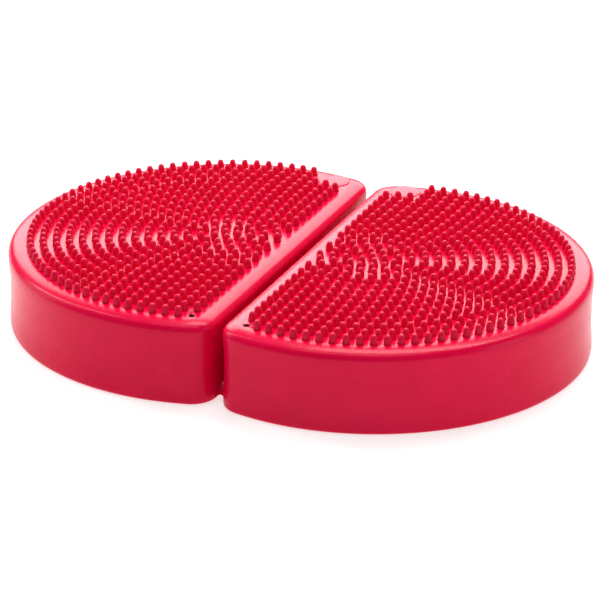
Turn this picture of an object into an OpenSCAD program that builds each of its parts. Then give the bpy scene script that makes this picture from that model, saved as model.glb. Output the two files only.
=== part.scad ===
// Two-chamber balance pad.
// Two mirror-image air chambers stand side by side, joined low in the gap by a narrow web.
// Each chamber is a soft skin in three regions: a flat sole, a side wall and a studded deck.
// Frame: origin at the middle of the footprint on the floor, +X along the long axis,
// +Y along the gap, +Z up. Millimetres.

/* [Chamber] */
// Overall length across both chambers
pad_length = 510; // [460:5:560]
// Overall width, which is the diameter of each chamber's round side
pad_width = 374; // [340:2:400]
// Height of the deck above the floor, without its studs
deck_height = 72; // [60:1:90]
// Thickness of the moulded skin
skin = 3; // [2.5:0.5:4]
// Radius of the shoulder, between the wall and the deck
shoulder_r = 10; // [8:1:12]
// Radius of the lower edge, between the sole and the wall
sole_r = 4; // [3.5:0.5:5]
// How far the shoulder and the sole stand proud of the wall
wall_waist = 1; // [0:0.25:1.5]

/* [Gap and web] */
// Width of the gap between the chambers
gap = 7.4; // [6:0.2:12]
// Plan radius of each chamber's corners at the gap
corner_r = 23; // [18:1:30]
// Height of the middle of the web above the floor
web_z = 7.2; // [6.5:0.1:12]
// Clearance between the web's bead and the chamber that flexes round it
web_clearance = 0.3; // [0.2:0.05:0.5]

/* [Studs] */
// Height of a stud above the deck
stud_height = 8; // [5:0.5:10]
// Mean diameter of a stud
stud_d = 6.4; // [5:0.2:7]
// Distance from one ring of studs to the next
ring_pitch = 11.2; // [10:0.2:14]
// Distance between neighbouring studs in a ring
stud_pitch = 11; // [10:0.2:14]
// Number of rings on each deck
ring_count = 15; // [10:1:15]
// Distance from the deck's straight edge to the row of studs that ends the rings there
row_margin = 20.7; // [16:0.1:30]
// Radius of the plain patch around a needle hole
needle_patch_r = 8; // [7:0.5:12]
// Radius of the plain patch in the corner at the far end of the gap
far_patch_r = 17; // [10:0.5:22]
// Distance of that patch from the plane between the chambers
far_patch_x = 34; // [28:0.5:44]
// Distance of that patch from the long axis
far_patch_y = 160; // [150:0.5:166]

/* [Valve] */
// Distance of each valve from the plane between the chambers
valve_x = 24.4; // [20:0.1:30]
// Distance of each valve from the long axis
valve_y = 162.2; // [150:0.1:166]
// Diameter of the needle hole
needle_d = 2.6; // [2:0.2:4]
// Diameter of the funnel that leads into it
mouth_d = 5; // [4:0.2:6]
// Depth of that funnel
mouth_depth = 1.2; // [0.6:0.2:2]
// Diameter of the rubber plug that seals round the needle
plug_d = 11; // [8:1:14]
// Length of the plug below the deck
plug_length = 15; // [10:1:20]

/* [Hidden] */
$fn = 96;

LEFT = -1;
RIGHT = 1;

rim_r = pad_width / 2;                  // radius of a chamber's round side
rim_x = pad_length / 2 - rim_r;         // centre of that round side
corner_x = gap / 2 + corner_r;          // centre of the corners at the gap
corner_y = sqrt(pow(rim_r - corner_r, 2) - pow(rim_x - corner_x, 2));
rim_angle = atan2(corner_y, corner_x - rim_x);  // where the round side meets a corner
wall_bottom = sole_r + 2;               // the wall stands on the sole's turned-up edge
wall_top = deck_height - shoulder_r - 2;  // and carries the deck's turned-down edge
web_r = gap / 2 - web_clearance;        // radius of the web's bead
row_reach = rim_x - gap / 2 - row_margin;  // from the rings' centre to the straight row
stud_fn = 20;
rim_steps = 72;                         // facets round a chamber's round side
corner_steps = 10;                      // and round each corner at the gap
edge_steps = 4;                         // levels in a rounded edge
crimson = "#c80a38";
dark_crimson = "#8c0a24";

// Draws its children on the chamber of the given side; they are made for the right one.
module on_side(side) {
    if (side == RIGHT) children();
    else mirror([1, 0, 0]) children();
}

// Points of an arc in steps, from its first angle up to the step named last.
function arc(centre, radius, from, to, steps, last) = [
    for (i = [0 : last])
        let (angle = from + (to - from) * i / steps)
            centre + radius * [cos(angle), sin(angle)]
];

// Outline of a chamber, a given inset inside its widest one: the round side, then the two
// corners at the gap with a straight edge between them.
function outline(inset) = concat(
    arc([rim_x, 0], rim_r - inset, -rim_angle, rim_angle, rim_steps, rim_steps - 1),
    arc([corner_x, corner_y], corner_r - inset, rim_angle, 180, corner_steps, corner_steps),
    arc([corner_x, -corner_y], corner_r - inset, 180, 360 - rim_angle, corner_steps,
        corner_steps - 1)
);

// Levels of a quarter round, as [inset, height] pairs. It is upright at an angle of 0 and
// flat at 90; rise is 1 for an edge that closes upwards and -1 for one that closes downwards.
function quarter_round(from, to, radius, rise) = [
    for (i = [0 : edge_steps])
        let (angle = from + (to - from) * i / edge_steps)
            [radius * (1 - cos(angle)), rise * radius * sin(angle)]
];

// Closed solid whose surface passes through the outline at each level in turn, capped at
// both ends. A level is an [inset, height] pair.
module outline_loft(levels) {
    n = len(outline(0));
    last = len(levels) - 1;
    polyhedron(
        points = [for (level = levels) for (p = outline(level[0])) [p.x, p.y, level[1]]],
        faces = concat(
            [[for (i = [0 : n - 1]) i], [for (i = [n - 1 : -1 : 0]) last * n + i]],
            [
                for (k = [0 : last - 1], i = [0 : n - 1])
                    let (j = (i + 1) % n)
                        each [
                            [k * n + i, (k + 1) * n + i, (k + 1) * n + j],
                            [k * n + i, (k + 1) * n + j, k * n + j]
                        ]
            ]
        )
    );
}

// Plate of the chamber's outline.
module plate(inset, bottom, top) {
    translate([0, 0, bottom]) linear_extrude(top - bottom) polygon(outline(inset));
}

// Flat skin that rests on the floor, with its edge turned up to meet the wall.
module sole(side) {
    edge = quarter_round(90, 0, sole_r, -1);
    color(crimson)
        on_side(side)
            outline_loft(concat(
                [for (level = edge) level + [0, sole_r]],
                [[0, wall_bottom], [skin, wall_bottom], [skin, sole_r], [sole_r, skin]]
            ));
}

// Upright skin between the sole and the deck, which gives as the chamber is loaded.
module wall(side) {
    color(crimson)
        on_side(side)
            difference() {
                plate(wall_waist, wall_bottom, wall_top);
                plate(skin, 0, deck_height);
            }
}

// True where a stud fits on the deck, clear of the plain patches.
function holds_stud(point) =
    norm(point - [valve_x, -valve_y]) > needle_patch_r
    && norm(point - [far_patch_x, far_patch_y]) > far_patch_r;

// Angles of the studs in a ring. A small ring is whole, and a wide one is an arc whose two
// ends stand in the straight row beside the gap.
function stud_angles(radius) =
    radius <= row_reach
        ? let (count = max(1, round(2 * PI * radius / stud_pitch)))
            [for (i = [0 : count - 1]) 180 + 360 * i / count]
        : let (half = acos(-row_reach / radius),
               count = round(PI * radius * half / 90 / stud_pitch))
            [for (i = [0 : count]) half * (2 * i / count - 1)];

// Centres of the studs, in rings about the centre of the chamber's round side.
function stud_centres() = [
    for (ring = [0 : ring_count])
        let (radius = ring * ring_pitch)
            for (angle = stud_angles(radius))
                let (point = [rim_x, 0] + radius * [cos(angle), sin(angle)])
                    if (holds_stud(point)) point
];

// Top skin with its turned-down edge, its moulded studs and the funnelled needle hole.
module deck(side) {
    shoulder = deck_height - shoulder_r;
    edge = quarter_round(0, 90, shoulder_r, 1);
    color(crimson)
        on_side(side)
            difference() {
                union() {
                    outline_loft(concat(
                        [[shoulder_r, deck_height - skin], [skin, shoulder]],
                        [[skin, wall_top], [0, wall_top]],
                        [for (level = edge) level + [0, shoulder]]
                    ));
                    translate([0, 0, deck_height - skin / 2])
                        linear_extrude(skin / 2 + stud_height)
                            for (point = stud_centres())
                                translate(point) circle(d = stud_d, $fn = stud_fn);
                }
                translate([valve_x, -valve_y, deck_height - 2 * skin])
                    cylinder(h = 3 * skin, d = needle_d, $fn = 32);
                translate([valve_x, -valve_y, deck_height - mouth_depth])
                    cylinder(h = mouth_depth, d1 = needle_d, d2 = mouth_d, $fn = 32);
            }
}

// Rubber plug bonded under the deck, which closes on the inflation needle.
module valve(side) {
    color(dark_crimson)
        on_side(side)
            translate([valve_x, -valve_y, deck_height - skin - plug_length])
                difference() {
                    cylinder(h = plug_length, d = plug_d, $fn = 48);
                    translate([0, 0, plug_length / 2])
                        cylinder(h = plug_length, d = needle_d, $fn = 32);
                }
}

// Narrow web that joins the chambers and bends as one tips against the other.
module web() {
    color(crimson)
        translate([0, corner_y, web_z])
            rotate([90, 0, 0])
                linear_extrude(2 * corner_y) {
                    circle(web_r);
                    translate([-gap / 2, -web_r]) square([gap / 2, 2 * web_r]);
                }
}

sole(LEFT);  // left_sole
wall(LEFT);  // left_wall
deck(LEFT);  // left_deck
valve(LEFT);  // left_valve
sole(RIGHT);  // right_sole
wall(RIGHT);  // right_wall
deck(RIGHT);  // right_deck
valve(RIGHT);  // right_valve
web();
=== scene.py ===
"""Two-chamber balance pad: the visual model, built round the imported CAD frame.

Each chamber is one inflated vinyl skin with moulded studs on its deck. The chambers are
joined low in the gap by a web. All sizes are in metres.
"""

import logging
import math
from dataclasses import dataclass, field
from enum import Enum

import bmesh
import bpy
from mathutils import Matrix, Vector


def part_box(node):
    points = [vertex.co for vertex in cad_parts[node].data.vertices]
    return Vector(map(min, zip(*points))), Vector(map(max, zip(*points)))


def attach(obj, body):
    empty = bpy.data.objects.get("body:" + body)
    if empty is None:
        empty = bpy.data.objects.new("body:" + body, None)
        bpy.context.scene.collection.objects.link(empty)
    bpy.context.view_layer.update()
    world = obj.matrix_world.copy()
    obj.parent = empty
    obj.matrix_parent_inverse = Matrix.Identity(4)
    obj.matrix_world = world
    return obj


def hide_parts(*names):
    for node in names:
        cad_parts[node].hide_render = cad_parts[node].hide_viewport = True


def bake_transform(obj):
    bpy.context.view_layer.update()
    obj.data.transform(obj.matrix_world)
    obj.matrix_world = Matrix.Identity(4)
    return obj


logging.basicConfig(level=logging.INFO, format="%(name)s: %(message)s")
log = logging.getLogger("balance_pad")

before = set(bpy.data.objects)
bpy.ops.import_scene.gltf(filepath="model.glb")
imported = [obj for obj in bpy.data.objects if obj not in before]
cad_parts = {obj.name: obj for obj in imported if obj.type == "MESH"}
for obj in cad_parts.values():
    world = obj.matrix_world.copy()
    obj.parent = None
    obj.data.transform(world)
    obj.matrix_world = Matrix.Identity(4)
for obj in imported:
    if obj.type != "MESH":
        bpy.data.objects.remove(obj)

MM = 0.001
# The height that each stud's foot is dropped from on to the skin.
DROP_FROM = 1.0
Point = tuple[float, float]
Level = tuple[float, float]


class Side(Enum):
    """Which of the two chambers a piece belongs to; the value is the sign of its X."""

    LEFT = -1
    RIGHT = 1

    @property
    def word(self) -> str:
        """The side's name, as node and body names start with it."""
        return self.name.lower()


# --------------------------------------------------------------------------- finishes


@dataclass(frozen=True)
class Grain:
    """The size of a noise pattern.

    The scale is in features per metre. Detail is the number of finer octaves, and roughness is
    how strong they are.
    """

    scale: float
    detail: float
    roughness: float = 0.5


MOTTLE = Grain(38.0, 5.0, 0.6)
HAZE = Grain(90.0, 6.0, 0.65)
RIPPLE = Grain(24.0, 2.0)
PEBBLE = Grain(900.0, 3.0, 0.55)
# The range that a noise factor hardly ever leaves.
NOISE_LOW, NOISE_HIGH = 0.3, 0.7


class NodeSheet:
    """A shader tree with short calls for adding and joining its nodes."""

    def __init__(self, name: str) -> None:
        """Starts a material with an empty tree.

        Args:
            name: the material's name.
        """
        self.material = bpy.data.materials.new(name)
        self.material.use_nodes = True
        self.tree = self.material.node_tree
        self.tree.nodes.clear()

    def add(self, kind: str, **settings: object) -> bpy.types.Node:
        """Adds a node.

        Args:
            kind: the node's type, without its ShaderNode prefix.
            settings: the node's own properties.

        Returns:
            The new node.
        """
        node = self.tree.nodes.new("ShaderNode" + kind)
        for key, value in settings.items():
            setattr(node, key, value)
        return node

    def join(self, source: bpy.types.NodeSocket, target: bpy.types.NodeSocket) -> None:
        """Joins an output to an input."""
        self.tree.links.new(source, target)

    def noise(self, where: bpy.types.NodeSocket, grain: Grain) -> bpy.types.NodeSocket:
        """Adds a noise texture and returns its factor.

        Args:
            where: the coordinates it reads.
            grain: the size of its pattern.

        Returns:
            The texture's factor output.
        """
        node = self.add("TexNoise")
        node.inputs["Scale"].default_value = grain.scale
        node.inputs["Detail"].default_value = grain.detail
        node.inputs["Roughness"].default_value = grain.roughness
        self.join(where, node.inputs["Vector"])
        return node.outputs["Fac"]

    def bump(self, height: bpy.types.NodeSocket, depth: float) -> bpy.types.Node:
        """Adds a Bump node at full strength.

        Args:
            height: what it takes the height from.
            depth: the height's full range, in metres.

        Returns:
            The node.
        """
        node = self.add("Bump")
        node.inputs["Strength"].default_value = 1.0
        node.inputs["Distance"].default_value = depth
        self.join(height, node.inputs["Height"])
        return node

    def spread(self, factor: bpy.types.NodeSocket, low: float,
               high: float) -> bpy.types.NodeSocket:
        """Maps a noise factor, which stays near its middle, on to a range of values.

        Args:
            factor: the noise factor.
            low: the value for the low end of the noise.
            high: the value for the high end of the noise.

        Returns:
            The mapped value.
        """
        node = self.add("MapRange")
        node.inputs["From Min"].default_value = NOISE_LOW
        node.inputs["From Max"].default_value = NOISE_HIGH
        node.inputs["To Min"].default_value = low
        node.inputs["To Max"].default_value = high
        self.join(factor, node.inputs["Value"])
        return node.outputs["Result"]


@dataclass(frozen=True)
class SoftVinyl:
    """Semi-gloss moulded vinyl: mottled colour, a fine pebble and faint flow ripples.

    The colour and the shade are the two ends of the mottle. The depths are in metres.
    """

    name: str
    colour: tuple[float, float, float]
    shade: tuple[float, float, float]
    roughness: tuple[float, float]
    pebble_depth: float = 0.00003
    ripple_depth: float = 0.00020
    specular: float = 0.08
    coat: float = 0.11
    coat_roughness: float = 0.12

    def material(self) -> bpy.types.Material:
        """Builds the finish as a material on object coordinates."""
        sheet = NodeSheet(self.name)
        where = sheet.add("TexCoord").outputs["Object"]
        shader = sheet.add("BsdfPrincipled")
        output = sheet.add("OutputMaterial")
        sheet.join(shader.outputs["BSDF"], output.inputs["Surface"])

        mix = sheet.add("Mix", data_type="RGBA")
        mix.inputs["A"].default_value = (*self.shade, 1.0)
        mix.inputs["B"].default_value = (*self.colour, 1.0)
        mottle = sheet.spread(sheet.noise(where, MOTTLE), 0.0, 1.0)
        sheet.join(mottle, mix.inputs["Factor"])
        sheet.join(mix.outputs["Result"], shader.inputs["Base Color"])

        haze = sheet.noise(where, HAZE)
        sheet.join(sheet.spread(haze, *self.roughness), shader.inputs["Roughness"])

        ripple = sheet.bump(sheet.noise(where, RIPPLE), self.ripple_depth)
        pebble = sheet.bump(sheet.noise(where, PEBBLE), self.pebble_depth)
        sheet.join(ripple.outputs["Normal"], pebble.inputs["Normal"])
        sheet.join(pebble.outputs["Normal"], shader.inputs["Normal"])

        shader.inputs["Specular IOR Level"].default_value = self.specular
        shader.inputs["Coat Weight"].default_value = self.coat
        shader.inputs["Coat Roughness"].default_value = self.coat_roughness
        return sheet.material


CRIMSON = SoftVinyl(
    "crimson_vinyl", (0.77, 0.0006, 0.052), (0.70, 0.0004, 0.043), (0.21, 0.30)
)
# The studs' vinyl is the skin's, tinted paler and pinker: painted sheen on the studs.
SHEENED_STUD_CRIMSON = SoftVinyl(
    "crimson_studs", (0.77, 0.0090, 0.066), (0.69, 0.0070, 0.056), (0.26, 0.36),
    ripple_depth=0.00008,
)
# Near-black valve plug finish; it is also laid on the needle hole's walls as painted shade.
PLUG_RUBBER_AND_PIT_SHADE = SoftVinyl(
    "plug_rubber", (0.09, 0.003, 0.007), (0.06, 0.002, 0.005), (0.5, 0.7), specular=0.3,
    coat=0.0
)


# --------------------------------------------------------------------------- plan


@dataclass(frozen=True)
class Plan:
    """The outline of one chamber from above, made for the right one."""

    rim_r: float
    rim_x: float
    gap: float
    corner_r: float

    @classmethod
    def from_frame(cls, corner_r: float = 23 * MM) -> "Plan":
        """Works the plan out from the CAD nodes.

        Args:
            corner_r: plan radius of the corners at the gap.

        Returns:
            The plan.
        """
        low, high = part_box("right_sole")
        rim_r = (high.y - low.y) / 2
        return cls(rim_r, high.x - rim_r, 2 * low.x, corner_r)

    @property
    def corner_x(self) -> float:
        """X of the centres of the corners at the gap."""
        return self.gap / 2 + self.corner_r

    @property
    def corner_y(self) -> float:
        """Y of those centres, which is also half the length of the straight edge."""
        reach = self.rim_r - self.corner_r
        return math.sqrt(reach**2 - (self.rim_x - self.corner_x) ** 2)

    @property
    def rim_angle(self) -> float:
        """Angle from +X at which the round side meets a corner."""
        return math.atan2(self.corner_y, self.corner_x - self.rim_x)

    def outline(self, inset: float, spacing: float) -> list[Point]:
        """Points of the outline, in order from the front of the round side.

        The number of points is the same for every inset.

        Args:
            inset: how far inside the widest outline to go.
            spacing: distance between points on the widest outline.

        Returns:
            The points.
        """
        beta = self.rim_angle
        points: list[Point] = []
        stretches = (
            (self.rim_x, 0.0, self.rim_r, -beta, beta),
            (self.corner_x, self.corner_y, self.corner_r, beta, math.pi),
            (self.corner_x, -self.corner_y, self.corner_r, math.pi, 2 * math.pi - beta),
        )
        for x, y, radius, start, stop in stretches:
            pace = spacing if radius > self.corner_r else spacing / 2
            steps = max(4, round(radius * (stop - start) / pace))
            for i in range(steps):
                angle = start + (stop - start) * i / steps
                reach = radius - inset
                points.append((x + reach * math.cos(angle), y + reach * math.sin(angle)))
            if y > 0:
                edge = round(2 * self.corner_y / spacing)
                for i in range(edge):
                    points.append((self.gap / 2 + inset, y - 2 * y * i / edge))
        return points

    @property
    def middle(self) -> Point:
        """A point well inside the outline, from which all of it can be seen."""
        return (self.rim_x + self.gap, 0.0)


# --------------------------------------------------------------------------- meshes


def new_object(name: str, mesh: bpy.types.Mesh, finish: bpy.types.Material,
               smooth: bool = True) -> bpy.types.Object:
    """Puts a mesh in the scene.

    Args:
        name: the object's name.
        mesh: its mesh.
        finish: its material.
        smooth: whether its faces are shaded smooth.

    Returns:
        The object.
    """
    mesh.materials.clear()
    mesh.materials.append(finish)
    mesh.polygons.foreach_set("use_smooth", [smooth] * len(mesh.polygons))
    mesh.update()
    piece = bpy.data.objects.new(name, mesh)
    bpy.context.scene.collection.objects.link(piece)
    return piece


def lofted(rings: list[list[Vector]], name: str) -> bpy.types.Mesh:
    """Makes a closed mesh through rings of equal length, fanned shut at both ends.

    Args:
        rings: the rings, in order along the surface.
        name: the mesh's name.

    Returns:
        The mesh, with its faces outwards.
    """
    mesh_data = bmesh.new()
    rows = [[mesh_data.verts.new(p) for p in ring] for ring in rings]
    count = len(rows[0])
    for low, high in zip(rows, rows[1:]):
        for i in range(count):
            j = (i + 1) % count
            mesh_data.faces.new((low[i], low[j], high[j], high[i]))
    for row in (rows[0], rows[-1]):
        middle = sum((v.co for v in row), Vector()) / count
        pole = mesh_data.verts.new(middle)
        for i in range(count):
            mesh_data.faces.new((row[i], row[(i + 1) % count], pole))
    bmesh.ops.recalc_face_normals(mesh_data, faces=mesh_data.faces)
    mesh = bpy.data.meshes.new(name)
    mesh_data.to_mesh(mesh)
    mesh_data.free()
    return mesh


def circles(x: float, y: float, sections: list[Point], sides: int) -> list[list[Vector]]:
    """Rings of points round an upright axis.

    Args:
        x: where the axis is.
        y: where the axis is.
        sections: radius and height of each ring.
        sides: number of points in a ring.

    Returns:
        The rings.
    """
    turns = [2 * math.pi * i / sides for i in range(sides)]
    return [
        [Vector((x + radius * math.cos(a), y + radius * math.sin(a), z)) for a in turns]
        for radius, z in sections
    ]


def cut(piece: bpy.types.Object, cutter: bpy.types.Object) -> None:
    """Cuts one closed object out of another, and removes the cutter."""
    tool = piece.modifiers.new("cut", "BOOLEAN")
    tool.operation = "DIFFERENCE"
    tool.solver = "EXACT"
    tool.material_mode = "TRANSFER"
    tool.object = cutter
    settled(piece)
    mesh = cutter.data
    bpy.data.objects.remove(cutter)
    bpy.data.meshes.remove(mesh)


def settled(piece: bpy.types.Object) -> bpy.types.Object:
    """Turns an object's modifiers into its plain mesh, and returns the object."""
    graph = bpy.context.evaluated_depsgraph_get()
    mesh = bpy.data.meshes.new_from_object(piece.evaluated_get(graph), depsgraph=graph)
    piece.modifiers.clear()
    old = piece.data
    piece.data = mesh
    mesh.name = old.name
    bpy.data.meshes.remove(old)
    return piece


# --------------------------------------------------------------------------- studs


@dataclass(frozen=True)
class StudShape:
    """One stud: a broad foot, a tapered stem and a round tip."""

    foot_r: float = 3.85 * MM
    stem_r: float = 3.3 * MM
    tip_r: float = 2.75 * MM
    height: float = 8.0 * MM
    root: float = 0.4 * MM
    flare_z: float = 0.8 * MM
    swell: float = 0.1 * MM
    swell_share: float = 0.6
    crown_angles: tuple[float, float] = (math.radians(32), math.radians(60))
    sides: int = 12

    def profile(self) -> list[Point]:
        """Radius and height of each ring, from under the deck to the tip."""
        dome = self.height - self.tip_r
        levels = [
            (self.foot_r, -self.root),
            (self.stem_r, self.flare_z),
            ((self.stem_r + self.tip_r) / 2 + self.swell, dome * self.swell_share),
            (self.tip_r, dome),
        ]
        for angle in self.crown_angles:
            levels.append((self.tip_r * math.cos(angle), dome + self.tip_r * math.sin(angle)))
        return levels

    def build(self, finish: bpy.types.Material) -> bpy.types.Object:
        """Builds the stud at the origin, closed underneath where the deck hides it."""
        data = bmesh.new()
        rings = circles(0.0, 0.0, self.profile(), self.sides)
        rows = [[data.verts.new(point) for point in ring] for ring in rings]
        for low, high in zip(rows, rows[1:]):
            for i in range(self.sides):
                j = (i + 1) % self.sides
                data.faces.new((low[i], low[j], high[j], high[i]))
        crown = data.verts.new((0, 0, self.height))
        for i in range(self.sides):
            data.faces.new((rows[-1][i], rows[-1][(i + 1) % self.sides], crown))
        data.faces.new(tuple(reversed(rows[0])))
        mesh = bpy.data.meshes.new("stud")
        data.to_mesh(mesh)
        data.free()
        return new_object("stud", mesh, finish)


class NodeTree:
    """A Geometry Nodes tree with short calls for its sockets, nodes and sums."""

    def __init__(self, name: str) -> None:
        """Starts a tree that takes and gives geometry.

        Args:
            name: the tree's name.
        """
        self.tree = bpy.data.node_groups.new(name, "GeometryNodeTree")
        self.socket("Geometry", "NodeSocketGeometry", into=True)
        self.socket("Geometry", "NodeSocketGeometry", into=False)
        self.entry = self.tree.nodes.new("NodeGroupInput")
        self.exit = self.tree.nodes.new("NodeGroupOutput")

    def socket(self, name: str, kind: str, into: bool = True) -> str:
        """Adds a socket to the tree and returns its identifier."""
        way = "INPUT" if into else "OUTPUT"
        made = self.tree.interface.new_socket(name=name, in_out=way, socket_type=kind)
        return made.identifier

    def add(self, kind: str, **settings: object) -> bpy.types.Node:
        """Adds a node of the full type name, with its properties set."""
        node = self.tree.nodes.new(kind)
        for key, value in settings.items():
            setattr(node, key, value)
        return node

    def join(self, source: bpy.types.NodeSocket, target: bpy.types.NodeSocket) -> None:
        """Joins an output to an input."""
        self.tree.links.new(source, target)

    def put(self, value: object, target: bpy.types.NodeSocket) -> None:
        """Joins a socket to an input, or sets the input to a plain value."""
        if isinstance(value, bpy.types.NodeSocket):
            self.join(value, target)
        else:
            target.default_value = value

    def sum(self, operation: str, *values: object) -> bpy.types.NodeSocket:
        """Adds a Math node.

        Args:
            operation: the node's operation.
            values: sockets or numbers for its inputs.

        Returns:
            The result.
        """
        node = self.add("ShaderNodeMath", operation=operation)
        for value, target in zip(values, node.inputs):
            self.put(value, target)
        return node.outputs[0]

    def vector(self, x: object, y: object, z: object) -> bpy.types.NodeSocket:
        """Adds a Combine XYZ node and returns its vector."""
        node = self.add("ShaderNodeCombineXYZ")
        for value, target in zip((x, y, z), node.inputs):
            self.put(value, target)
        return node.outputs[0]


@dataclass(frozen=True)
class StudField:
    """Studs in concentric rings about the centre of a chamber's round side.

    A small ring is whole. A wide one is an arc whose two ends stand in a straight row beside
    the gap.
    """

    ring_pitch: float = 11.2 * MM
    stud_pitch: float = 11.0 * MM
    rings: int = 15
    row_margin: float = 20.7 * MM
    needle_patch_r: float = 8.0 * MM
    far_patch_r: float = 17.0 * MM
    far_patch: Point = (34.0 * MM, 160.0 * MM)
    seed: int = 7
    tilt: float = 0.03
    turn: float = 6.28
    girth: Point = (0.985, 1.015)
    shortest: float = 0.98

    def tree(self) -> tuple[bpy.types.NodeTree, dict[str, str]]:
        """Builds the tree that lays the studs out and stands them on the deck.

        Returns:
            The tree, and the identifier of each named input.
        """
        nodes = NodeTree("stud_rings")
        ids = {
            "Stud": nodes.socket("Stud", "NodeSocketObject"),
            "Finish": nodes.socket("Finish", "NodeSocketMaterial"),
            "Centre X": nodes.socket("Centre X", "NodeSocketFloat"),
            "Row reach": nodes.socket("Row reach", "NodeSocketFloat"),
            "Rings": nodes.socket("Rings", "NodeSocketInt"),
            "Ring pitch": nodes.socket("Ring pitch", "NodeSocketFloat"),
            "Stud pitch": nodes.socket("Stud pitch", "NodeSocketFloat"),
            "Needle": nodes.socket("Needle", "NodeSocketVector"),
            "Needle patch": nodes.socket("Needle patch", "NodeSocketFloat"),
            "Far corner": nodes.socket("Far corner", "NodeSocketVector"),
            "Far patch": nodes.socket("Far patch", "NodeSocketFloat"),
            "Seed": nodes.socket("Seed", "NodeSocketInt"),
        }
        entry = nodes.entry.outputs
        kept = nodes.add("GeometryNodeDeleteGeometry", domain="POINT")
        nodes.join(self._rings(nodes), kept.inputs["Geometry"])
        by_needle = self._within(nodes, entry["Needle"], entry["Needle patch"])
        by_corner = self._within(nodes, entry["Far corner"], entry["Far patch"])
        either = nodes.sum("MAXIMUM", by_needle, by_corner)
        nodes.join(nodes.sum("GREATER_THAN", either, 0.5), kept.inputs["Selection"])
        stood = self._stood_on_deck(nodes, kept.outputs["Geometry"])

        stud = nodes.add("GeometryNodeObjectInfo")
        nodes.join(entry["Stud"], stud.inputs["Object"])
        tilt = nodes.add("FunctionNodeRandomValue", data_type="FLOAT_VECTOR")
        tilt.inputs["Min"].default_value = (-self.tilt, -self.tilt, 0.0)
        tilt.inputs["Max"].default_value = (self.tilt, self.tilt, self.turn)
        nodes.join(entry["Seed"], tilt.inputs["Seed"])
        girth = nodes.add("FunctionNodeRandomValue", data_type="FLOAT_VECTOR")
        girth.inputs["Min"].default_value = (self.girth[0], self.girth[0], self.shortest)
        girth.inputs["Max"].default_value = (self.girth[1], self.girth[1], 1.0)
        nodes.join(nodes.sum("ADD", entry["Seed"], 1.0), girth.inputs["Seed"])
        placed = nodes.add("GeometryNodeInstanceOnPoints")
        nodes.join(stood, placed.inputs["Points"])
        nodes.join(stud.outputs["Geometry"], placed.inputs["Instance"])
        nodes.join(tilt.outputs[0], placed.inputs["Rotation"])
        nodes.join(girth.outputs[0], placed.inputs["Scale"])

        real = nodes.add("GeometryNodeRealizeInstances")
        nodes.join(placed.outputs[0], real.inputs["Geometry"])
        dressed = nodes.add("GeometryNodeSetMaterial")
        nodes.join(real.outputs[0], dressed.inputs["Geometry"])
        nodes.join(entry["Finish"], dressed.inputs["Material"])
        nodes.join(dressed.outputs[0], nodes.exit.inputs["Geometry"])
        return nodes.tree, ids

    @staticmethod
    def _rings(nodes: NodeTree) -> bpy.types.NodeSocket:
        """Adds a loop that joins one ring of points for each ring of studs.

        Args:
            nodes: the tree to build in.

        Returns:
            The points of every ring.
        """
        entry = nodes.entry.outputs
        start = nodes.add("GeometryNodeRepeatInput")
        stop = nodes.add("GeometryNodeRepeatOutput")
        start.pair_with_output(stop)
        stop.repeat_items.new("FLOAT", "Ring")
        nodes.join(entry["Rings"], start.inputs["Iterations"])
        start.inputs["Ring"].default_value = 0.0
        ring = nodes.sum("ADD", start.outputs["Ring"], 1.0)
        radius = nodes.sum("MULTIPLY", ring, entry["Ring pitch"])

        share = nodes.sum("MINIMUM", nodes.sum("DIVIDE", entry["Row reach"], radius), 1.0)
        half = nodes.sum("SUBTRACT", math.pi, nodes.sum("ARCCOSINE", share))
        length = nodes.sum("MULTIPLY", nodes.sum("MULTIPLY", half, 2.0), radius)
        steps = nodes.sum("ROUND", nodes.sum("DIVIDE", length, entry["Stud pitch"]))
        whole = nodes.sum("LESS_THAN", radius, entry["Row reach"])
        count = nodes.sum("SUBTRACT", nodes.sum("ADD", steps, 1.0), whole)

        line = nodes.add("GeometryNodeMeshLine", mode="OFFSET")
        nodes.join(count, line.inputs["Count"])
        index = nodes.add("GeometryNodeInputIndex").outputs[0]
        turn = nodes.sum("SUBTRACT", nodes.sum("DIVIDE", index, steps), 0.5)
        angle = nodes.sum("MULTIPLY", nodes.sum("MULTIPLY", turn, 2.0), half)
        side = nodes.sum("SIGN", entry["Centre X"])
        away = nodes.sum("MULTIPLY", nodes.sum("COSINE", angle), radius)
        x = nodes.sum("MULTIPLY", away, side)
        y = nodes.sum("MULTIPLY", nodes.sum("SINE", angle), radius)
        spot = nodes.add("GeometryNodeSetPosition")
        nodes.join(line.outputs["Mesh"], spot.inputs["Geometry"])
        nodes.join(nodes.vector(x, y, 0.0), spot.inputs["Position"])
        both = nodes.add("GeometryNodeJoinGeometry")
        nodes.join(start.outputs["Geometry"], both.inputs[0])
        nodes.join(spot.outputs[0], both.inputs[0])
        nodes.join(both.outputs[0], stop.inputs["Geometry"])
        nodes.join(ring, stop.inputs["Ring"])

        centre = nodes.add("GeometryNodeMeshLine", mode="OFFSET")
        centre.inputs["Count"].default_value = 1
        nodes.join(centre.outputs["Mesh"], start.inputs["Geometry"])
        moved = nodes.add("GeometryNodeTransform")
        nodes.join(stop.outputs["Geometry"], moved.inputs["Geometry"])
        nodes.join(nodes.vector(entry["Centre X"], 0.0, 0.0), moved.inputs["Translation"])
        return moved.outputs["Geometry"]

    @staticmethod
    def _within(nodes: NodeTree, spot: bpy.types.NodeSocket,
                radius: bpy.types.NodeSocket) -> bpy.types.NodeSocket:
        """Adds the test for points within a distance of a spot.

        Args:
            nodes: the tree to build in.
            spot: where the spot is.
            radius: the distance.

        Returns:
            One where a point is that near, and nought elsewhere.
        """
        gap = nodes.add("ShaderNodeVectorMath", operation="DISTANCE")
        nodes.join(nodes.add("GeometryNodeInputPosition").outputs[0], gap.inputs[0])
        nodes.join(spot, gap.inputs[1])
        return nodes.sum("LESS_THAN", gap.outputs["Value"], radius)

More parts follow.
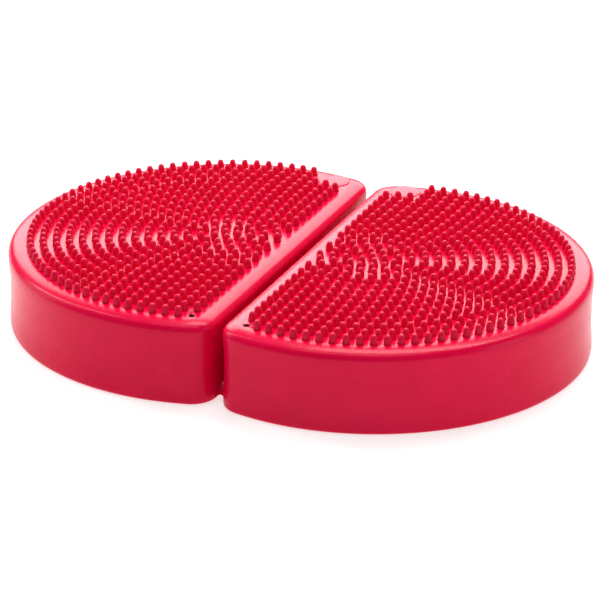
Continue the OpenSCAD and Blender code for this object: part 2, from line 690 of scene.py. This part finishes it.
    @staticmethod
    def _stood_on_deck(nodes: NodeTree, points: bpy.types.NodeSocket) -> bpy.types.NodeSocket:
        """Adds a drop of each point on to the skin that the modifier is on.

        Args:
            nodes: the tree to build in.
            points: the points to drop.

        Returns:
            The points, on the deck.
        """
        drop = nodes.add("GeometryNodeRaycast")
        nodes.join(nodes.entry.outputs["Geometry"], drop.inputs["Target Geometry"])
        split = nodes.add("ShaderNodeSeparateXYZ")
        nodes.join(nodes.add("GeometryNodeInputPosition").outputs[0], split.inputs[0])
        above = nodes.vector(split.outputs["X"], split.outputs["Y"], DROP_FROM)
        nodes.join(above, drop.inputs["Source Position"])
        drop.inputs["Ray Direction"].default_value = (0.0, 0.0, -1.0)
        drop.inputs["Ray Length"].default_value = 2 * DROP_FROM
        spot = nodes.add("GeometryNodeSetPosition")
        nodes.join(points, spot.inputs["Geometry"])
        nodes.join(drop.outputs["Hit Position"], spot.inputs["Position"])
        return spot.outputs[0]

    def build(self, name: str, plan: Plan, side: Side, skin: bpy.types.Object,
              stud: bpy.types.Object, finish: bpy.types.Material) -> bpy.types.Object:
        """Builds the studs of one deck as a plain mesh.

        Args:
            name: the object's name.
            plan: the chamber's plan.
            side: which chamber it is.
            skin: the skin that the studs stand on.
            stud: one stud at the origin.
            finish: their material.

        Returns:
            The studs.
        """
        tree, ids = self.tree()
        carrier = bpy.data.objects.new(name + "_carrier", skin.data.copy())
        bpy.context.scene.collection.objects.link(carrier)
        modifier = carrier.modifiers.new("studs", "NODES")
        modifier.node_group = tree
        values = {
            "Stud": stud, "Finish": finish, "Centre X": side.value * plan.rim_x,
            "Row reach": plan.rim_x - plan.gap / 2 - self.row_margin,
            "Rings": self.rings, "Ring pitch": self.ring_pitch,
            "Stud pitch": self.stud_pitch, "Needle": (*needle_spot(side), 0.0),
            "Needle patch": self.needle_patch_r,
            "Far corner": (side.value * self.far_patch[0], self.far_patch[1], 0.0),
            "Far patch": self.far_patch_r, "Seed": self.seed + side.value,
        }
        for key, value in values.items():
            modifier[ids[key]] = value
        carrier.update_tag()
        graph = bpy.context.evaluated_depsgraph_get()
        made = carrier.evaluated_get(graph)
        mesh = bpy.data.meshes.new_from_object(made, depsgraph=graph)
        old = carrier.data
        bpy.data.objects.remove(carrier)
        bpy.data.meshes.remove(old)
        bpy.data.node_groups.remove(tree)
        mesh.name = name
        return new_object(name, mesh, finish)


def needle_spot(side: Side) -> Point:
    """X and Y of a chamber's needle hole, which is the middle of its valve plug."""
    low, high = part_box(f"{side.word}_valve")
    return ((low.x + high.x) / 2, (low.y + high.y) / 2)


# --------------------------------------------------------------------------- chambers


SOLE_STEPS, WAIST_STEPS, ROLL_STEPS, SLOPE_STEPS = 6, 5, 10, 6
NEEDLE_SIDES, BOSS_SIDES = 32, 64
# How far the two flat levels of the deck stand inside the shoulder.
DECK_MARGIN = (3 * MM, 6 * MM)
# Where the rings of the sole and the deck stand, as shares of the way out from the middle.
FAN_SHARES = (0.06, 0.15, 0.27, 0.40, 0.54, 0.68, 0.80, 0.90)
# The pit round the needle hole: share of the mouth's radius, and depth under the crown.
NEEDLE_PIT = ((0.8, 4.2 * MM), (0.95, 1.2 * MM), (1.08, 0.8 * MM), (1.5, -2 * MM))
# The boss's edge: inset from its radius, and share of its rise.
BOSS_EDGE = ((0.0, 0.2), (0.3 * MM, 0.8), (0.9 * MM, 1.0))
BOSS_TOP: Point = (0.5, 1.2)
CROWN_AT_BOSS = 0.25


@dataclass
class Chamber:
    """One inflated chamber: its skin, its studs, its boss and its needle hole."""

    side: Side
    plan: Plan
    deck_z: float
    stud_field: StudField = field(default_factory=StudField)
    spacing: float = 4.0 * MM
    sole_insets: Point = (18 * MM, 8 * MM)
    sole_r: float = 3.5 * MM
    foot_z: float = 7 * MM
    waist_z: tuple[float, float, float] = (26 * MM, 36 * MM, 46 * MM)
    roll_r: float = 7 * MM
    slope_r: float = 32 * MM
    roll_turn: float = math.radians(71)
    waist: float = 1.0 * MM
    crown: float = 0.8 * MM
    mouth_r: float = 2.6 * MM
    needle_r: float = 1.3 * MM
    boss_r: float = 14 * MM
    boss_rise: float = 0.5 * MM
    boss_root: float = 1.5 * MM
    bore_depth: float = 9 * MM
    pit_depth: float = 4.6 * MM

    def profile(self) -> list[Level]:
        """Inset and height of each level of the skin's edge, from the sole up to the deck."""
        levels: list[Level] = [(inset, 0.0) for inset in self.sole_insets]
        for i in range(SOLE_STEPS + 1):
            angle = math.pi / 2 * (1 - i / SOLE_STEPS)
            levels.append((self.sole_r * (1 - math.cos(angle)),
                           self.sole_r * (1 - math.sin(angle))))
        waist_low, waist_middle, waist_high = self.waist_z
        levels += self._eased(self.foot_z, waist_low, 0.0, self.waist, WAIST_STEPS)
        levels.append((self.waist, waist_middle))
        turn = self.roll_turn
        foot = self.roll_r * (1 - math.cos(turn)) + self.slope_r * math.cos(turn)
        slope_z = self.deck_z - self.slope_r * (1 - math.sin(turn))
        spring = slope_z - self.roll_r * math.sin(turn)
        levels += self._eased(waist_high, spring, self.waist, 0.0, WAIST_STEPS)
        for i in range(1, ROLL_STEPS + 1):
            angle = turn * i / ROLL_STEPS
            levels.append((self.roll_r * (1 - math.cos(angle)),
                           spring + self.roll_r * math.sin(angle)))
        for i in range(1, SLOPE_STEPS + 1):
            angle = turn + (math.pi / 2 - turn) * i / SLOPE_STEPS
            levels.append((foot - self.slope_r * math.cos(angle),
                           self.deck_z - self.slope_r * (1 - math.sin(angle))))
        return levels + [(foot + step, self.deck_z) for step in DECK_MARGIN]

    @staticmethod
    def _eased(start: float, stop: float, low: float, high: float,
               steps: int) -> list[Level]:
        """Levels up the wall along a smooth step from one inset to another.

        Args:
            start: height where the step begins.
            stop: height where it ends.
            low: the inset at the start.
            high: the inset at the end.
            steps: number of levels less one.

        Returns:
            The levels.
        """
        levels = []
        for i in range(steps + 1):
            share = i / steps
            inset = low + (high - low) * share * share * (3 - 2 * share)
            levels.append((inset, start + (stop - start) * share))
        return levels

    def skin_mesh(self) -> bpy.types.Mesh:
        """The closed skin: flat sole, waisted wall, rounded shoulder and crowned deck."""
        plan, sign = self.plan, self.side.value
        rings = []
        first, *_, last = self.profile()
        middle = Vector((*plan.middle, 0.0))
        flat = [Vector((x, y, 0.0)) for x, y in plan.outline(first[0], self.spacing)]
        rings += [[middle.lerp(p, share) for p in flat] for share in FAN_SHARES]
        for inset, z in self.profile():
            rings.append([Vector((x, y, z)) for x, y in plan.outline(inset, self.spacing)])
        deck = [Vector((x, y, last[1])) for x, y in plan.outline(last[0], self.spacing)]
        middle.z = last[1]
        for share in reversed(FAN_SHARES):
            lift = Vector((0, 0, self.crown * (1 - share**2)))
            rings.append([middle.lerp(p, share) + lift for p in deck])
        for ring in rings:
            for point in ring:
                point.x *= sign
        return lofted(rings, f"{self.side.word}_skin")

    def needle_cutter(self, finish: bpy.types.Material) -> bpy.types.Object:
        """The shape of the needle hole: a funnel mouth and a narrow bore."""
        top = self.deck_z + self.crown
        sections = [(self.needle_r, top - self.bore_depth), (self.needle_r, top - self.pit_depth)]
        sections += [(self.mouth_r * share, top - depth) for share, depth in NEEDLE_PIT]
        rings = circles(*needle_spot(self.side), sections, NEEDLE_SIDES)
        # The cutter's near-black finish passes to the hole's walls: painted shade in the needle
        # hole.
        return new_object("needle_cutter", lofted(rings, "needle_cutter"), finish)

    def boss_mesh(self) -> bpy.types.Mesh:
        """The low round boss on the plain patch in the far corner."""
        x, y = self.stud_field.far_patch
        x *= self.side.value
        surface = self.deck_z + self.crown * CROWN_AT_BOSS
        top_share, top_rise = BOSS_TOP
        sections = [(self.boss_r, surface - self.boss_root)]
        sections += [(self.boss_r - inset, surface + self.boss_rise * rise)
                     for inset, rise in BOSS_EDGE]
        sections.append((self.boss_r * top_share, surface + self.boss_rise * top_rise))
        return lofted(circles(x, y, sections, BOSS_SIDES), f"{self.side.word}_boss")

    def build(self, vinyl: bpy.types.Material, stud_vinyl: bpy.types.Material,
              rubber_and_pit_shade: bpy.types.Material, stud: bpy.types.Object) -> None:
        """Builds the chamber and ties it to its CAD bodies.

        Args:
            vinyl: the skin's material.
            stud_vinyl: the studs' material, the skin's vinyl tinted paler as painted sheen.
            rubber_and_pit_shade: the plug's material, also on the needle hole's walls as painted
                shade.
            stud: one stud at the origin.
        """
        word = self.side.word
        skin = new_object(f"{word}_skin", self.skin_mesh(), vinyl)
        studs = self.stud_field.build(f"{word}_studs", self.plan, self.side, skin, stud,
                                      stud_vinyl)
        # The needle hole's walls take the near-black plug finish: painted shade.
        cut(skin, self.needle_cutter(rubber_and_pit_shade))
        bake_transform(skin)
        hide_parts(f"{word}_sole", f"{word}_wall", f"{word}_deck")
        boss = new_object(f"{word}_boss", self.boss_mesh(), vinyl)
        for piece in (studs, boss):
            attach(piece, f"{word}_top")
        log.info("%s: %d faces", skin.name, len(skin.data.polygons))
        log.info("%s: %d faces", studs.name, len(studs.data.polygons))
        plug = frame_node(f"{word}_valve")
        dress(plug, rubber_and_pit_shade)
        log.info("%s: carried over from the frame", plug.name)


def frame_node(name: str) -> bpy.types.Object:
    """The CAD object of a node, by its name."""
    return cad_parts[name]


def dress(piece: bpy.types.Object, finish: bpy.types.Material) -> None:
    """Gives every material slot of an object the same finish."""
    if not piece.material_slots:
        piece.data.materials.append(finish)
    for place in piece.material_slots:
        place.material = finish


# --------------------------------------------------------------------------- web


@dataclass
class Web:
    """The strip of skin low in the gap, which on the real pad bends as one chamber tips.

    Its ends are hollowed across the gap, and lean back towards the top over the fade length.
    """

    plan: Plan
    overlap: float = 2.4 * MM
    spacing: float = 4 * MM
    reach_out: float = 5.0 * MM
    hollow: float = 2.0 * MM
    lean: float = 12.0 * MM
    fade: float = 40.0 * MM
    thin: float = 0.28
    section_steps: int = 10

    def section(self, middle_z: float, half: float) -> list[Point]:
        """The strip's section across the gap, waisted where it bends.

        Args:
            middle_z: height of its middle.
            half: half its thickness at the chambers.

        Returns:
            X and Z of each point, in order round the section.
        """
        reach = self.plan.gap / 2 + self.overlap
        top, bottom = [], []
        for i in range(self.section_steps + 1):
            x = -reach + 2 * reach * i / self.section_steps
            share = min(1.0, abs(x) / (self.plan.gap / 2))
            thick = half * (1 - self.thin * (1 - share**2))
            top.append((x, middle_z + thick))
            bottom.append((-x, middle_z - thick))
        return top + bottom

    def build(self, vinyl: bpy.types.Material) -> None:
        """Builds the web.

        Args:
            vinyl: its material.
        """
        low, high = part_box("web")
        middle_z, half = (low.z + high.z) / 2, (high.z - low.z) / 2
        section = self.section(middle_z, half)
        start, stop = low.y - self.reach_out, high.y + self.reach_out
        length = stop - start
        count = round(length / self.spacing)
        gap_half = self.plan.gap / 2
        rings = []
        for k in range(count + 1):
            y = start + length * k / count
            ring = []
            front = max(0.0, 1 - (y - start) / self.fade)
            rear = max(0.0, 1 - (stop - y) / self.fade)
            for x, z in section:
                flare = max(0.0, 1 - (x / gap_half) ** 2)
                pull = self.hollow * flare + self.lean * (z - low.z) / (high.z - low.z)
                ring.append(Vector((x, y + (front - rear) * pull, z)))
            rings.append(ring)
        web = new_object("web_strip", lofted(rings, "web_strip"), vinyl, smooth=False)
        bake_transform(web)
        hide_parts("web")
        log.info("%s: %d faces", web.name, len(web.data.polygons))


# --------------------------------------------------------------------------- studio


@dataclass(frozen=True)
class Softbox:
    """One rectangular studio light."""

    name: str
    place: tuple[float, float, float]
    size: tuple[float, float]
    watts: float
    aim: tuple[float, float, float] = (0.0, 0.0, 0.03)

    def build(self) -> None:
        """Adds the light to the scene."""
        lamp = bpy.data.lights.new(self.name, "AREA")
        lamp.shape = "RECTANGLE"
        lamp.size, lamp.size_y = self.size
        lamp.energy = self.watts
        holder = bpy.data.objects.new(self.name, lamp)
        holder.location = self.place
        look = Vector(self.aim) - Vector(self.place)
        holder.rotation_euler = look.to_track_quat("-Z", "Y").to_euler()
        bpy.context.scene.collection.objects.link(holder)


@dataclass(frozen=True)
class Studio:
    """Floor, light and camera."""

    azimuth: float = math.radians(23.35)
    elevation: float = math.radians(24.03)
    distance: float = 2.665
    lens: float = 185.5
    shift_x: float = 0.0025
    shift_y: float = 0.0448
    floor_size: float = 12.0
    floor_shade: float = 0.55
    floor_glow: float = 0.62
    floor_roughness: float = 0.9
    floor_specular: float = 0.1
    world_light: float = 0.20
    boxes: tuple[Softbox, ...] = (
        Softbox("back_box", (-0.9, 2.3, 1.2), (2.6, 1.3), 64.0),
        Softbox("key_box", (0.1, 1.1, 2.3), (1.8, 0.9), 48.0),
        Softbox("top_box", (0.0, -0.3, 2.4), (1.6, 0.7), 16.0),
        Softbox("strip_box", (-1.9, 0.25, 1.8), (0.28, 1.7), 20.0),
        Softbox("left_box", (-2.1, -0.2, 0.9), (1.0, 1.8), 11.0),
        Softbox("right_box", (2.2, 0.1, 0.6), (1.0, 1.2), 7.0),
    )

    def build_floor(self) -> None:
        """Adds the pale floor."""
        bpy.ops.mesh.primitive_plane_add(size=self.floor_size)
        floor = bpy.context.object
        floor.name = "studio_floor"
        sheet = NodeSheet("studio_floor")
        shader = sheet.add("BsdfPrincipled")
        shader.inputs["Base Color"].default_value = (*[self.floor_shade] * 3, 1.0)
        shader.inputs["Roughness"].default_value = self.floor_roughness
        shader.inputs["Specular IOR Level"].default_value = self.floor_specular
        shader.inputs["Emission Color"].default_value = (1.0, 1.0, 1.0, 1.0)
        shader.inputs["Emission Strength"].default_value = self.floor_glow
        output = sheet.add("OutputMaterial")
        sheet.join(shader.outputs["BSDF"], output.inputs["Surface"])
        floor.data.materials.append(sheet.material)

    def build_world(self) -> None:
        """Gives the world an even white light."""
        world = bpy.data.worlds.new("studio_world")
        world.use_nodes = True
        back = world.node_tree.nodes["Background"]
        back.inputs["Color"].default_value = (1.0, 1.0, 1.0, 1.0)
        back.inputs["Strength"].default_value = self.world_light
        bpy.context.scene.world = world

    def build_camera(self) -> None:
        """Adds the camera at the viewing angle."""
        data = bpy.data.cameras.new("studio_camera")
        data.lens = self.lens
        data.shift_x, data.shift_y = self.shift_x, self.shift_y
        back = Vector((
            math.sin(self.azimuth) * math.cos(self.elevation),
            -math.cos(self.azimuth) * math.cos(self.elevation),
            math.sin(self.elevation),
        ))
        camera = bpy.data.objects.new("studio_camera", data)
        camera.location = back * self.distance
        camera.rotation_euler = (-back).to_track_quat("-Z", "Y").to_euler()
        bpy.context.scene.collection.objects.link(camera)
        bpy.context.scene.camera = camera

    def build(self) -> None:
        """Sets the whole studio up."""
        self.build_floor()
        self.build_world()
        self.build_camera()
        for box in self.boxes:
            box.build()
        bpy.context.scene.view_settings.view_transform = "Standard"
        log.info("studio: %d lights", len(self.boxes))


def main() -> None:
    """Builds the pad and its studio."""
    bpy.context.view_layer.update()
    # The studs' material is a paler tint of the skin's vinyl: painted sheen.
    vinyl, stud_vinyl = CRIMSON.material(), SHEENED_STUD_CRIMSON.material()
    # The plug's finish also paints shade on the needle hole's walls.
    rubber_and_pit_shade = PLUG_RUBBER_AND_PIT_SHADE.material()
    plan = Plan.from_frame()
    shape = StudShape()
    deck_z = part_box("right_deck")[1].z - shape.height
    stud = shape.build(stud_vinyl)
    for side in Side:
        Chamber(side, plan, deck_z).build(vinyl, stud_vinyl, rubber_and_pit_shade, stud)
    mesh = stud.data
    bpy.data.objects.remove(stud)
    bpy.data.meshes.remove(mesh)
    Web(plan).build(vinyl)
    Studio().build()


if __name__ == "__main__":
    main()
